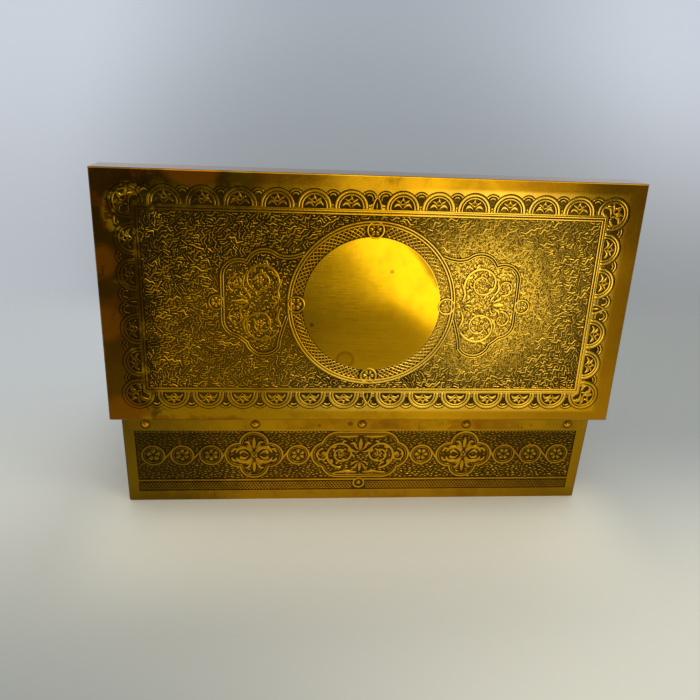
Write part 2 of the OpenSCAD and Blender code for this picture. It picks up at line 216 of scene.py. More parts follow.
def walked(path, step):
    """Points along a path, about step apart."""
    made = []
    for a, b in zip(path, path[1:]):
        du, dv = b[0] - a[0], b[1] - a[1]
        count = max(1, math.ceil(math.dist(a, b) / step))
        made += [(a[0] + du * i / count, a[1] + dv * i / count) for i in range(count)]
    return made + [path[-1]]


def kept(path, wanted):
    """The stretches of a path whose points are wanted."""
    runs, run = [], []
    for point in path:
        if wanted(point):
            run.append(point)
        elif run:
            runs.append(run)
            run = []
    return [r for r in runs + [run] if len(r) > 2]


def outline_of(circles, boxes, step=2.0):
    """The outline of circles (centre, radius) and boxes (half width, half height), from its middle."""
    made = []
    for i in range(round(360 / step)):
        a = math.radians(i * step)
        du, dv = math.cos(a), math.sin(a)
        reach = 0.0
        for (u, v), r in circles:
            along = du * u + dv * v
            inside = r * r - (u * u + v * v) + along * along
            if inside > 0:
                reach = max(reach, along + math.sqrt(inside))
        for w, h in boxes:
            reach = max(reach, min(w / max(abs(du), 1e-6), h / max(abs(dv), 1e-6)))
        made.append((du * reach, dv * reach))
    return made


def medallion_line():
    w, h = MEDALLION
    lobe = h * MEDALLION_LOBE
    sides = [((s * (w - lobe), 0), lobe) for s in (-1, 1)]
    ends = [((0, s * (h - lobe)), lobe) for s in (-1, 1)]
    return outline_of(sides + ends + [((0, 0), h * 0.66)], [])


def cartouche_line():
    w, h = CARTOUCHE
    lobe = h * CARTOUCHE_LOBE
    side = w - lobe * 0.72
    r = h * 0.6
    ends = [((s * (w - lobe), 0), lobe) for s in (-1, 1)]
    corners = [((s * (side - r), t * (h - r)), r) for s in (-1, 1) for t in (-1, 1)]
    return outline_of(ends + corners, [(side - r, h), (side, h - r)])


# ---- raised work ----

# Sections of raised lines, from one foot over the crown to the other: shares of the half width
# and of the height, and whether the point lies out on the low ledge beside the line
LEDGE = 0.2
FINE = ((-1, 0, 0), (-0.7, 0.82, 0), (-0.2, 1, 0), (0.2, 1, 0), (0.7, 0.82, 0), (1, 0, 0))
BAND = ((-1, 0, -1), (-1, 0.09, -1), (-1, 0.09, 0), (-0.8, 0.9, 0), (-0.35, 1, 0),
        (0.35, 1, 0), (0.8, 0.9, 0), (1, 0.09, 0), (1, 0.09, 1), (1, 0, 1))


def leaf_width(full, tip=0.16, belly=0.4):
    """A width that swells from the stalk to full at the belly and narrows to the tip."""
    def at(share):
        bend = share ** (math.log(0.5) / math.log(belly))
        return full * max(tip, math.sin(math.pi * bend) ** 0.8)
    return at


def tapered(full, tip=0.6, run=0.12):
    """An even width that narrows near both ends."""
    def at(share):
        return full * (tip + (1 - tip) * min(1.0, share / run, (1 - share) / run))
    return at


class Relief:
    """Raised work on one panel, gathered into one mesh."""

    def __init__(self, panel, ground=None):
        self.panel = panel
        self.ground = ground
        self.points = []
        self.faces = []
        self.random = random.Random(SEED)

    def ribbon(self, path, width, crown=CROWN, closed=False, section=FINE):
        """A raised line along a path. Its width is a number or a function of the share of the way."""
        count = len(path)
        ring = len(section)
        first = len(self.points)
        lift = self.random.uniform(-UNEVEN, UNEVEN)
        if self.ground:
            full = max(width(i / 8) for i in range(9)) if callable(width) else width
            self.ground.take(path + path[:1] if closed else path, full / 2 + MARGIN)
        for i, point in enumerate(path):
            before = path[i - 1] if i or closed else point
            after = path[(i + 1) % count] if i < count - 1 or closed else point
            side, stretch = self.mitre(before, point, after)
            share = i / max(1, count - 1)
            half = (width(share) if callable(width) else width) / 2 * stretch
            top = crown(share) if callable(crown) else crown + lift
            if not closed and i in (0, count - 1):
                top -= END_DIP
            for across, up, ledge in section:
                out = FOOT + (top - FOOT) * up
                reach = half * across + LEDGE * ledge
                at = (point[0] + side[0] * reach, point[1] + side[1] * reach)
                self.points.append(self.panel.at(*at, out))
        for i in range(count if closed else count - 1):
            here = first + i * ring
            there = first + (i + 1) % count * ring
            for k in range(ring):
                n = (k + 1) % ring
                self.faces.append((here + k, here + n, there + n, there + k))
        if not closed:
            last = first + (count - 1) * ring
            ends = range(first + ring - 1, first - 1, -1), range(last, last + ring)
            self.faces += [tuple(end) for end in ends]

    @staticmethod
    def mitre(before, point, after):
        """The sideways direction at a bend, and how much wider the line is there."""
        a = Vector((point[0] - before[0], point[1] - before[1]))
        b = Vector((after[0] - point[0], after[1] - point[1]))
        a = a.normalized() if a.length > 1e-9 else b.normalized()
        b = b.normalized() if b.length > 1e-9 else a
        along = (a + b).normalized() if (a + b).length > 1e-6 else a
        return (-along.y, along.x), min(1.5, 1 / max(0.6, along.dot(a)))

    def mound(self, outline, crown=CROWN, shoulder=0.72, drop=0.1):
        """A raised shape inside a closed outline, rounded over from its shoulder."""
        count = len(outline)
        first = len(self.points)
        middle = (sum(p[0] for p in outline) / count, sum(p[1] for p in outline) / count)
        crown += self.random.uniform(-0.01, 0.01)
        turn = sum(a[0] * b[1] - b[0] * a[1] for a, b in zip(outline, outline[1:] + outline[:1]))
        outline = outline if turn > 0 else outline[::-1]
        for share, out in ((1, FOOT), (shoulder, crown - drop)):
            for u, v in outline:
                at = (middle[0] + (u - middle[0]) * share, middle[1] + (v - middle[1]) * share)
                self.points.append(self.panel.at(*at, out))
        self.points.append(self.panel.at(*middle, crown))
        for i in range(count):
            n = (i + 1) % count
            self.faces.append((first + i, first + n, first + count + n, first + count + i))
            self.faces.append((first + count + i, first + count + n, first + 2 * count))
        self.faces.append(tuple(range(first + count - 1, first - 1, -1)))

    def build(self, name, finish):
        mesh = bpy.data.meshes.new(name)
        mesh.from_pydata(self.points, [], self.faces)
        mesh.update()
        mesh.shade_smooth()
        mesh.set_sharp_from_angle(angle=math.radians(62))
        mesh.materials.append(finish.material)
        piece = added(name, mesh)
        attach(piece, self.panel.body)


# ---- small motifs ----

def petal(reach, spread, hub, count=9):
    """Outline of one petal of a rosette that points up from its middle."""
    belly = reach * 0.68
    right = []
    for i in range(count):
        r = hub + (reach - hub) * i / (count - 1)
        rounding = math.sqrt(max(0.0, 1 - max(0.0, (r - belly) / (reach - belly)) ** 2))
        right.append((min(math.tan(math.radians(spread)) * r, spread / 24 * belly * 0.46) * rounding, r))
    left = [(-u, v) for u, v in reversed(right[1:-1])]
    return right + left


def rosette(relief, at, reach, petals=6, turn=0.0):
    outline = petal(reach, 150 / petals, reach * 0.16)
    for i in range(petals):
        relief.mound(placed(outline, at, turn + 360 * i / petals))


def leaf(relief, path, width, at=(0, 0), turn=0.0, flip=False, scale=1.0, belly=0.45):
    line = placed(smooth(path, 4), at, turn, flip, scale)
    relief.ribbon(line, leaf_width(width * scale, belly=belly), section=BAND)


def leaves(relief, shapes, at=(0, 0), turn=0.0, scale=1.0):
    """The same leaves to the right and the left. A shape is a path, a width and where it swells."""
    for flip in (False, True):
        for path, width, belly in shapes:
            leaf(relief, path, width, at, turn, flip, scale, belly)


TREFOIL = (([(0.1, -0.4), (1.0, 0.9), (2.2, 1.3), (3.4, 0.1)], 1.3, 0.6),
           ([(0.6, 1.2), (1.3, 2.3), (2.5, 2.7)], 0.95, 0.6))
CORNER_LEAF = (([(0.5, -0.8), (2.0, -1.5), (3.9, -1.3)], 1.4, 0.45),)
PALMETTE = (([(0.2, -0.2), (1.5, 1.2), (2.2, 2.6), (3.6, 2.5)], 1.2, 0.6),
            ([(0.4, -0.6), (2.0, -0.4), (3.2, 0.4), (3.9, -0.6)], 0.95, 0.5))
MEDALLION_LEAVES = (([(0.8, 0.6), (3.2, 3.4), (6.2, 3.2), (7.6, 1.0)], 1.8, 0.55),
                    ([(2.2, 0.2), (4.0, 1.7), (5.6, 1.4), (5.4, 0.3)], 1.4, 0.55),
                    ([(6.6, 2.8), (8.4, 2.9), (9.6, 1.2)], 1.4, 0.55),
                    ([(0.6, 1.4), (1.6, 3.2), (3.2, 4.9)], 1.3, 0.55))


def trefoil(relief, at, turn=0.0, scale=1.0):
    """The palmette in a border arch: a bud on a stalk between drooping leaves."""
    leaves(relief, TREFOIL, at, turn, scale)
    bud = placed([(0, 2.0)], at, turn, False, scale)[0]
    relief.ribbon(circle(bud, 0.78 * scale, 0.35), 0.62 * scale, closed=True)
    leaf(relief, [(0, 2.5), (0, 3.3), (0, 3.95)], 1.1, at, turn, False, scale, 0.35)


def split_palmette(relief, at, turn, scale=1.0):
    """A three-leaved palmette that points up from its stalk."""
    leaf(relief, [(0, 0), (0, 2.2), (0, 4.6)], 1.5, at, turn, False, scale)
    leaves(relief, PALMETTE, at, turn, scale)


def scroll(relief, centre, outer, start, turns, stem, buds, inner=1.9):
    """A vine that winds in on a flower, with leaves along its outer side."""
    path = spiral(centre, outer, inner, start, turns)
    relief.ribbon(path, lambda share: stem * (1 - 0.35 * share), section=BAND)
    bend = -1 if turns > 0 else 1
    for i in range(buds):
        share = (i + 0.7) / (buds + 0.4)
        k = min(len(path) - 2, int(share * len(path)))
        heading = math.degrees(math.atan2(path[k + 1][1] - path[k][1], path[k + 1][0] - path[k][0]))
        size = (1 - 0.45 * share) * (outer / 7) ** 0.6
        side = bend if i % 2 else -bend
        bud = [(0, 0), (1.2, 0.55 * side), (2.1, 1.5 * side), (3.2, 1.3 * side)]
        leaf(relief, bud, 1.3, path[k], heading, False, size, belly=0.6)
    rosette(relief, centre, inner * 0.86, 5, start)


def plait(relief, along, length, half, waves, width, strands=4):
    """Strands that weave over and under each other in a band along a line or ring."""
    steps = waves * 8
    for strand in range(strands):
        path, heights = [], []
        for i in range(steps + 1):
            phase = (i / 8 + strand / strands) % 1
            side = 1 - 4 * abs(phase - 0.5)
            path.append(along(length * i / steps, side * half))
            over = -math.cos(2 * math.pi * side)
            heights.append((0.06 if phase < 0.5 else -0.06) * over - 0.02)
        relief.ribbon(path, width, lambda share: heights[round(share * steps)])


# ---- filling the ground ----

class Ground:
    """A panel's free ground on a fine grid. Small work fills what the main lines leave."""

    CELL = 0.2

    def __init__(self, half_wide, half_high, inside, middle=(0, 0)):
        self.low = (middle[0] - half_wide, middle[1] - half_high)
        self.columns = round(2 * half_wide / self.CELL)
        self.rows = round(2 * half_high / self.CELL)
        self.taken = ~inside(*self.middles())

    def middles(self):
        """Across and up of every cell's middle."""
        u = self.low[0] + (np.arange(self.columns) + 0.5) * self.CELL
        v = self.low[1] + (np.arange(self.rows) + 0.5) * self.CELL
        return np.meshgrid(u, v)

    def within(self, outline):
        """Which cells lie inside a closed outline."""
        u, v = self.middles()
        odd = np.zeros(u.shape, bool)
        for (au, av), (bu, bv) in zip(outline, outline[1:] + outline[:1]):
            if av != bv:
                odd ^= ((av > v) != (bv > v)) & (u < au + (v - av) * (bu - au) / (bv - av))
        return odd

    def cell(self, point):
        return (int((point[1] - self.low[1]) / self.CELL), int((point[0] - self.low[0]) / self.CELL))

    def free(self, point):
        j, i = self.cell(point)
        return 0 <= i < self.columns and 0 <= j < self.rows and not self.taken[j, i]

    def take(self, path, reach):
        """Marks the ground within reach of a path as taken."""
        span = math.ceil(reach / self.CELL)
        dj, di = np.mgrid[-span:span + 1, -span:span + 1]
        near = (dj ** 2 + di ** 2) * self.CELL ** 2 <= reach ** 2
        cells = np.array([self.cell(p) for p in walked(path, self.CELL)])
        j = np.clip(cells[:, :1] + dj[near], 0, self.rows - 1)
        i = np.clip(cells[:, 1:] + di[near], 0, self.columns - 1)
        self.taken[j, i] = True

    def starts(self, chance):
        """Free places in a shuffled order."""
        j, i = np.nonzero(~self.taken)
        places = [(self.low[0] + (x + 0.5) * self.CELL, self.low[1] + (y + 0.5) * self.CELL)
                  for y, x in zip(j.tolist(), i.tolist())]
        chance.shuffle(places)
        return places

    def follow(self, start, moves, step=0.25):
        """The path that moves, (heading, length), take from start over free ground."""
        path = [start]
        for heading, length in moves:
            du, dv = math.cos(math.radians(heading)) * step, math.sin(math.radians(heading)) * step
            u, v = path[-1]
            steps = int(length / step)
            done = 0
            while done < steps and self.free((u + du * (done + 1), v + dv * (done + 1))):
                done += 1
            if done:
                path.append((u + du * done, v + dv * done))
            if done < steps:
                break
        return path


# Shares of the strokes that are straight, that are hooked, and that lean the given way
STRAIGHT = 0.16
HOOKED = 0.18
LEANING = 0.72


def zigzag_moves(chance, lean):
    """Headings and lengths of one kinked stroke, as in the cover's field."""
    steep = lean * chance.uniform(44, 104)
    flat = lean * chance.uniform(-32, 20)
    kind = chance.random()
    if kind < STRAIGHT:
        return [(chance.choice((-48, 48, 40, -62)) + chance.uniform(-9, 9), chance.uniform(2, 6.5))]
    if kind < STRAIGHT + HOOKED:
        steep, flat = lean * chance.uniform(48, 72), lean * chance.uniform(108, 142)
    moves = []
    for i in range(chance.randint(2, 6)):
        heading = steep if i % 2 else flat
        moves.append((heading + chance.uniform(-12, 12), chance.uniform(0.8, 2.7)))
    return moves


def comma_moves(chance, _):
    """A short bent stroke."""
    heading = chance.uniform(0, 360)
    bend = chance.choice((-1, 1)) * chance.uniform(20, 60)
    return [(heading, chance.uniform(0.3, 0.7)), (heading + bend, chance.uniform(0.3, 0.8))]


def curl_moves(chance, _):
    """A short stroke that curls round."""
    heading = chance.uniform(0, 360)
    bend = chance.choice((-1, 1)) * chance.uniform(25, 45)
    return [(heading + bend * i, 0.5) for i in range(chance.randint(3, 6))]


def level_moves(chance, _):
    """A short stroke that runs roughly level."""
    heading = chance.choice((0, 180)) + chance.uniform(-28, 28)
    bend = chance.uniform(-30, 30)
    return [(heading, chance.uniform(0.5, 1.1)), (heading + bend, chance.uniform(0.4, 1.0))]


# Passes that fill a ground: width, distance apart, shortest length, lean, crown and kind of stroke
FIELD_STROKES = (
    (0.54, 0.6, 2.2, 1, 0.0, zigzag_moves),
    (0.52, 0.58, 0.9, 1, 0.0, zigzag_moves),
    (0.5, 0.54, 0.4, None, -0.01, comma_moves),
)
CARTOUCHE_STROKES = (
    (0.5, 0.62, 0.8, None, -0.03, curl_moves),
    (0.46, 0.55, 0.4, None, -0.04, comma_moves),
)
FRIEZE_STROKES = (
    (0.56, 0.72, 0.9, None, -0.03, level_moves),
    (0.5, 0.62, 0.3, None, -0.05, comma_moves),
)


def fill_ground(relief, ground, chance, passes):
    """Fills what is free with strokes, the longer ones first."""
    for width, apart, shortest, lean, crown, moves in passes:
        for start in ground.starts(chance):
            if not ground.free(start):
                continue
            way = lean if lean and chance.random() < LEANING else chance.choice((-1, 1))
            path = ground.follow(start, moves(chance, way))
            if length_of(path) >= shortest:
                ground.take(path, apart)
                relief.ribbon(path, tapered(width), crown - chance.uniform(0, 0.04))


# ---- the cover's ornament ----

def capped(width):
    """The full width of a rounded line that covers a flat CAD line of the given width."""
    return width + 2 * COVER_BAND


def rows_of(half, first):
    """Middles of the arches and of the gaps between them, along one side of the border."""
    count = round((half - first) / ARCH_PITCH)
    step = (half - first) / count
    arches = [first + i * step for i in range(count)]
    gaps = [first + (i + 0.5) * step for i in range(count)]
    return arches, gaps


def border(panel, finish):
    """Arches, small arches, lancets and palmettes round the frame, and its own two lines."""
    relief = Relief(panel)
    sides = [(0, 0), (180, 0), (90, 1), (-90, 1)]
    band_r = ARCH_R - GROOVE - ARCH_BAND / 2
    thin_r = ARCH_R - 2 * GROOVE - ARCH_BAND - ARCH_THIN / 2
    for turn, short in sides:
        half, out = (CORNER[1], FRAME[0]) if short else (CORNER[0], FRAME[1])
        lift = (CORNER[0] - FRAME[0]) if short else (CORNER[1] - FRAME[1])
        arches, gaps = rows_of(half, ARCH_FIRST[short])
        middles = [s * a for s in (-1, 1) for a in arches]

        def put(path, width, crown=CROWN):
            moved = placed([(u, v + out) for u, v in path], (0, 0), turn)
            relief.ribbon(moved, width, crown, section=BAND)

        for u in middles:
            for radius, width in ((band_r, ARCH_BAND), (thin_r, ARCH_THIN)):
                dip = math.degrees(math.asin(ARCH_FOOT / radius))
                put(arc((u, ARCH_FOOT), radius, -dip, 180 + dip), capped(width))
            at = placed([(u, ARCH_FOOT + 0.1 + out)], (0, 0), turn)[0]
            trefoil(relief, at, turn)
        big = [((u, ARCH_FOOT), ARCH_R) for u in middles] + [((s * half, lift), ARCH_R) for s in (-1, 1)]

        def shows(point, margin=0.1):
            clear = all(math.dist(point, c) > r + margin for c, r in big)
            pointed = abs(point[0]) > LANCET[0] * (1 - (point[1] / LANCET[1]) ** 2) + 0.3
            return clear and point[1] > 0.2 and pointed

        smalls = [s * g for s in (-1, 1) for g in gaps] + [s * (SMALL_R - GROOVE / 2) for s in (-1, 1)]
        for u in smalls:
            for radius, width in ((SMALL_R - GROOVE - ARCH_THIN / 2, capped(ARCH_THIN)), (1.35, 0.55)):
                for run in kept(arc((u, SMALL_UP), radius, -30, 210, 0.3), shows):
                    put(run, width)
        w, h = LANCET
        r = (w * w + h * h) / (2 * w)
        reach = math.degrees(math.asin(h / r))
        point = arc((w - r, 0), r - ARCH_THIN / 2, 0, reach, 0.5)
        for flip in (False, True):
            put(placed(point, flip=flip), capped(ARCH_THIN), CROWN + 0.01)
        put([(0, 0.4), (0, 1.8), (0, 3.2)], leaf_width(0.9))
    for s in (-1, 1):
        for t in (-1, 1):
            at = (s * CORNER[0], t * CORNER[1])
            for radius, width in ((band_r, ARCH_BAND), (thin_r, ARCH_THIN)):
                path = [(at[0] + s * u, at[1] + t * v) for u, v in arc((0, 0), radius, *CORNER_ARC)]
                relief.ribbon(path, capped(width), section=BAND)
            turn = math.degrees(math.atan2(-s, t))
            at = (at[0] - s * 0.8, at[1] - t * 0.8)
            trefoil(relief, at, turn, 1.3)
            leaves(relief, CORNER_LEAF, at, turn)
    for inset in (FRAME_LINE / 2, FRAME_LINE * 1.5 + GROOVE):
        w, h = FRAME[0] - inset, FRAME[1] - inset
        relief.ribbon([(w, h), (-w, h), (-w, -h), (w, -h)], capped(FRAME_LINE), CROWN, True, BAND)
    relief.build("cover_border", finish)


def braid(panel, finish):
    """The plaited ring round the disc, its two outer lines and its four small rosettes."""
    relief = Relief(panel)
    middle = DISC_R + BRAID_W / 2
    ring_in = DISC_R + BRAID_W
    loops = [(RING_LOOP_AT * c, RING_LOOP_AT * s) for c, s in ((1, 0), (0, 1), (-1, 0), (0, -1))]
    quarter = math.pi / 2
    clear = (RING_LOOP_R + 0.75) / middle
    for q in range(4):
        start = q * quarter + clear

        def along(distance, side):
            angle = start + distance / middle
            return ((middle + side) * math.cos(angle), (middle + side) * math.sin(angle))

        length = (quarter - 2 * clear) * middle
        plait(relief, along, length, BRAID_W / 2 - 0.32, 5, 0.54)
    for at in loops:
        relief.ribbon(circle(at, RING_LOOP_R, 0.4), capped(RING_LINE), CROWN + 0.02, True, BAND)
        rosette(relief, at, RING_LOOP_R - 0.55, 6, 30)
    for radius in (ring_in + RING_LINE / 2, ring_in + RING_LINE * 1.5 + GROOVE):
        relief.ribbon(circle((0, 0), radius, 0.9), capped(RING_LINE), closed=True, section=BAND)
    relief.build("cover_braid", finish)


def cartouche_side():
    """The double-lobed outline to the ring's right, from its upper to its lower meeting with it."""
    upper = smooth([(25.4, 19.4), (29.0, 18.2), (32.6, 17.8), (35.6, 18.5)])
    lower = smooth([(35.0, -17.0), (34.6, -14.0), (33.4, -9.5), (31.8, -4.6)])
    return (upper + arc((40.2, 13.6), 6.7, 128, 27) + arc((49.4, 10.2), 6.3, 116, 0)
            + arc((49.6, -6.4), 6.1, 0, -82) + arc((40.6, -13.6), 6.5, -16, -146) + lower)


def offset_line(path, side):
    """The path moved sideways, to its left for a positive side."""
    made = []
    for i, point in enumerate(path):
        before, after = path[max(0, i - 1)], path[min(len(path) - 1, i + 1)]
        across, stretch = Relief.mitre(before, point, after)
        made.append((point[0] + across[0] * side * stretch, point[1] + across[1] * side * stretch))
    return made


def cover_cartouches(panel, finish):
    """The two cartouches beside the ring, their vines, and the rosettes at their ends."""
    relief = Relief(panel)
    lines = []
    for s in (1, -1):
        outline = [(s * u, v) for u, v in cartouche_side()]
        for side in (-0.48, 0.48):
            relief.ribbon(offset_line(outline, side), 0.66, CROWN, section=BAND)
        lines.append(outline)
        end = (s * END_LOOP[0], END_LOOP[1])
        relief.ribbon(circle(end, 2.7, 0.4), 0.8, CROWN, True, BAND)
        rosette(relief, end, 2.1, 6, 0)
        for t in (1, -1):
            scroll(relief, (s * 41.8, t * 8.4 + 0.6), 7.2, 200 if s > 0 else -20, -s * t * 1.55, 1.2, 12)
            scroll(relief, (s * 50.6, t * 6.4 + 1.4), 3.4, 250 * t, s * t * 1.1, 0.95, 5, 1.3)
            leaf(relief, [(33.6, t * 9.5), (35.4, t * 5.0), (34.0, t * 1.0)], 1.4, (0, 0), 0, s < 0)
            leaf(relief, [(46.0, t * 4.0), (48.2, t * 7.2), (47.2, t * 11.4)], 1.4, (0, 0), 0, s < 0)
        split_palmette(relief, (s * 46.2, 0.8), -s * 90, 1.15)
        split_palmette(relief, (s * 35.4, 0.6), -s * 90, 0.75)
    relief.build("cover_cartouches", finish)
    return lines


def cover_field(panel, finish, outlines):
    """The kinked strokes that fill the field, and finer ones in the cartouches."""
    chance = random.Random(SEED)
    inset = 2 * FRAME_LINE + GROOVE + 0.35
    w, h = FRAME[0] - inset, FRAME[1] - inset
    ring = DISC_R + BRAID_W + 2 * RING_LINE + GROOVE + 0.4
    ground = Ground(w, h, lambda u, v: u * u + v * v > ring * ring)
    for line in outlines:
        ground.take(line, 1.25)
    for s in (1, -1):
        end = (s * END_LOOP[0], END_LOOP[1])
        ground.take(circle(end, 2.0), 1.5)
        ground.take([end, (s * (END_LOOP[0] + 0.1), END_LOOP[1])], 2.2)
    inner = Ground(w, h, lambda u, v: np.zeros(u.shape, bool))
    closing = [(31.8, -2.0), (32.0, 4.0), (31.0, 9.0), (28.5, 15.0)]
    for s in (1, -1):
        hole = ground.within([(s * u, v) for u, v in cartouche_side() + closing])
        inner.taken &= ~(hole & ~ground.taken)
        ground.taken |= hole
    for name, side in (("right", 1), ("left", -1)):
        relief = Relief(panel)
        half = Ground(w, h, lambda u, v: (u > 0) == (side > 0))
        half.taken |= ground.taken
        fill_ground(relief, half, chance, FIELD_STROKES)
        relief.build("cover_field_" + name, finish)
    relief = Relief(panel)
    fill_ground(relief, inner, chance, CARTOUCHE_STROKES)
    relief.build("cover_cartouche_ground", finish)


# ---- the friezes ----

def frieze(name, panel, finish, half, middle):
    """A wall's frieze: loops, rope band and ground, and on long walls the work in the middle."""
    chance = random.Random(WALL_SEEDS[name])
    wide = half - 0.35
    ground = Ground(wide, (FRIEZE_TOP - RULE_Z) / 2 - 0.6, lambda u, v: np.ones(u.shape, bool),
                    (0, (FRIEZE_TOP + RULE_Z) / 2))
    relief = Relief(panel, ground)
    fine = Relief(panel)

    def line(path, width=LINE, closed=False, crown=CROWN):
        relief.ribbon(path, capped(width), crown, closed, BAND)

    def inner_line(outline):
        relief.ribbon(offset_line(outline + outline[:1], 0.98)[:-1], 0.44, CROWN - 0.02, True)

    first = FIRST_LOOP_X if middle else 0.0
    last = half - LOOP_R - LOOP_END
    count = max(1, round((last - first) / LOOP_PITCH))
    step = (last - first) / count
    loops = [first + i * step for i in range(count + 1)]
    rings = [(u, LOOP_R) for u in loops]
    joins = list(zip(rings, rings[1:]))
    if middle:
        end_lobe, side_lobe = CARTOUCHE[1] * CARTOUCHE_LOBE, MEDALLION[1] * MEDALLION_LOBE
        reach = MEDALLION[0] - side_lobe
        joins += [((CARTOUCHE[0] - end_lobe, end_lobe), (SINGLE_X, LOOP_R)),
                  ((SINGLE_X, LOOP_R), (MEDALLION_X - reach, side_lobe)),
                  ((MEDALLION_X + reach, side_lobe), rings[0])]
    for s in (1, -1):
        for u in loops[0 if middle or s > 0 else 1:] + ([SINGLE_X] if middle else []):
            at = (s * u, SCROLL_Z)
            line(circle(at, LOOP_R), closed=True)
            inner_line(circle(at, LOOP_R))
            petals = 5 if u == loops[-1] and s < 0 and middle else 6
            rosette(relief, at, LOOP_R - 1.5, petals, 30 * (s > 0))
            ground.take(circle(at, LOOP_R - 1.5), 1.9)
            ground.take([at, (at[0] + 0.1, at[1])], 2.0)
        for one, next_one in joins:
            line([(s * u, SCROLL_Z + v) for u, v in link(one, next_one)], crown=CROWN + 0.03)
    if middle:
        for s in (1, -1):
            at = (s * MEDALLION_X, SCROLL_Z)
            line(placed(medallion_line(), at), closed=True)
            inner_line(placed(medallion_line(), at))
            medallion_leaves(relief, at)
        line(placed(cartouche_line(), (0, SCROLL_Z)), closed=True)
        inner_line(placed(cartouche_line(), (0, SCROLL_Z)))
        cartouche_vines(relief, (0, SCROLL_Z))
    for s in (-1, 1):
        line([(s * 2.2, RULE_Z), (s * (half + 0.1), RULE_Z)])
    relief.ribbon(circle((0, BOSS_Z), BOSS_R, 0.4), capped(LINE), CROWN + 0.02, True, BAND)
    relief.mound(circle((0, BOSS_Z), 1.05, 0.5))
    for s in (-1, 1):
        length = half - BOSS_R - 1.1

        def along(distance, side):
            return (s * (BOSS_R + 0.75 + distance), (FRIEZE_LOW + ROPE_TOP) / 2 + side)

        plait(fine, along, length, (ROPE_TOP - FRIEZE_LOW) / 2 - 0.42, round(length / 5.4), 0.43)
    bead = [(-0.5, -0.32), (0.5, -0.32), (0.62, 0), (0.5, 0.32), (-0.5, 0.32), (-0.62, 0)]
    for i in range(round(2 * wide / BEAD_PITCH)):
        u = -wide + 0.6 + i * BEAD_PITCH
        if abs(u) < wide - 0.3 and ground.free((u, FRIEZE_TOP - 1.6)):
            fine.mound(placed(bead, (u, FRIEZE_TOP - 0.62)), -0.05)
    fill_ground(fine, ground, chance, FRIEZE_STROKES)
    relief.build(f"frieze_{name}_lines", finish)
    fine.build(f"frieze_{name}_ground", finish)


def link(one, other):
    """The slanting line from the top of one ring (middle, radius) to the foot of the next."""
    (u, r), (other_u, other_r) = one, other
    lean = min(0.97, (r + other_r) / (other_u - u))
    up = math.sqrt(1 - lean * lean)
    top, foot = (u + r * lean, r * up), (other_u - other_r * lean, -other_r * up)
    return [top, ((top[0] + foot[0]) / 2, (top[1] + foot[1]) / 2), foot]


def medallion_leaves(relief, at):
    """Palmettes above and below in a medallion, and curling leaves to the sides."""
    for turn in (0, 180):
        split_palmette(relief, placed([(0, 3.4)], at, turn)[0], turn, 1.15)
    leaves(relief, [([(u, v * up) for u, v in path], width, belly)
                    for up in (1, -1) for path, width, belly in MEDALLION_LEAVES], at)
    rosette(relief, at, 1.5, 6, 0)


def cartouche_vines(relief, at):
    """Winding vines that fill the middle cartouche, the same to the left and the right."""
    u, v = at
    for s in (1, -1):
        scroll(relief, (u + s * 8.2, v + 0.4), 7.2, -90, s * 1.6, 1.2, 12)
        scroll(relief, (u + s * 15.9, v - 0.2), 3.3, 90, -s * 1.1, 0.95, 5, 1.2)
        leaf(relief, [(s * 1.2, -9.0), (s * 6.0, -8.6), (s * 11.5, -9.2)], 1.4, at)
        leaf(relief, [(s * 1.0, 9.2), (s * 6.0, 9.0), (s * 11.0, 9.3)], 1.3, at)
    split_palmette(relief, (u, v + 2.2), 0, 1.3)
    split_palmette(relief, (u, v - 4.0), 180, 1.0)


# ---- finishes ----

class Value:
    """A socket of a finish, written in sums as a number is."""

    def __init__(self, finish, socket):
        self.finish = finish
        self.socket = socket

    def __add__(self, other):
        return self.finish.maths("ADD", self, other)

    def __sub__(self, other):
        return self.finish.maths("SUBTRACT", self, other)

    def __rsub__(self, other):
        return self.finish.maths("SUBTRACT", other, self)

    def __mul__(self, other):
        return self.finish.maths("MULTIPLY", self, other)

    __radd__ = __add__
    __rmul__ = __mul__


